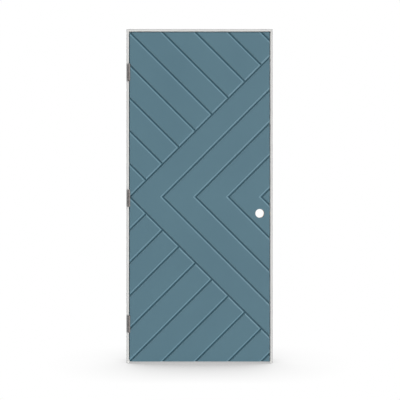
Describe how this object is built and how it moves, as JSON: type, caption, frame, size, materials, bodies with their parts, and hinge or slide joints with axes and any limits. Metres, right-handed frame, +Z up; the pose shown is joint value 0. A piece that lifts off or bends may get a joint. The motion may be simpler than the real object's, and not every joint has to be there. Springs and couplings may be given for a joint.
{
  "type": "prehung interior door",
  "caption": "Prehung interior door: a painted slab with chevron grooves, bored for a lockset, swings on butt hinges in a flat white jamb with applied stops.",
  "frame": {"origin": "on the outer face of the hinge jamb, at floor level, halfway through the jamb's depth", "axes": "+X across the doorway from the hinge jamb to the strike jamb, +Y through the wall away from the side the door opens to, +Z up"},
  "size_m": [0.9022, 0.1329, 2.0608],
  "materials": {
    "slab_paint": "satin",
    "jamb_paint": "satin",
    "hinge_nickel": "satin"
  },
  "bodies": {
    "frame": {"hinge_jamb": "jamb_paint", "strike_jamb": "jamb_paint", "head_jamb": "jamb_paint", "hinge_side_stop": "jamb_paint", "strike_side_stop": "jamb_paint", "head_stop": "jamb_paint", "top_hinge_jamb_leaf": "hinge_nickel", "middle_hinge_jamb_leaf": "hinge_nickel", "bottom_hinge_jamb_leaf": "hinge_nickel", "top_hinge_pin": "hinge_nickel", "middle_hinge_pin": "hinge_nickel", "bottom_hinge_pin": "hinge_nickel"},
    "door": {"top_hinge_door_leaf": "hinge_nickel", "middle_hinge_door_leaf": "hinge_nickel", "bottom_hinge_door_leaf": "hinge_nickel", "front_skin": "slab_paint", "back_skin": "slab_paint", "hinge_stile": "slab_paint", "lock_stile": "slab_paint", "top_rail": "slab_paint", "bottom_rail": "slab_paint"}
  },
  "joints": [
    {"name": "door_swing", "type": "hinge", "parent": "frame", "child": "door", "pos_m": [0.0168, -0.06745, 1.0165], "axis": [0, 0, -1], "range_deg": [0, 180]}
  ]
}
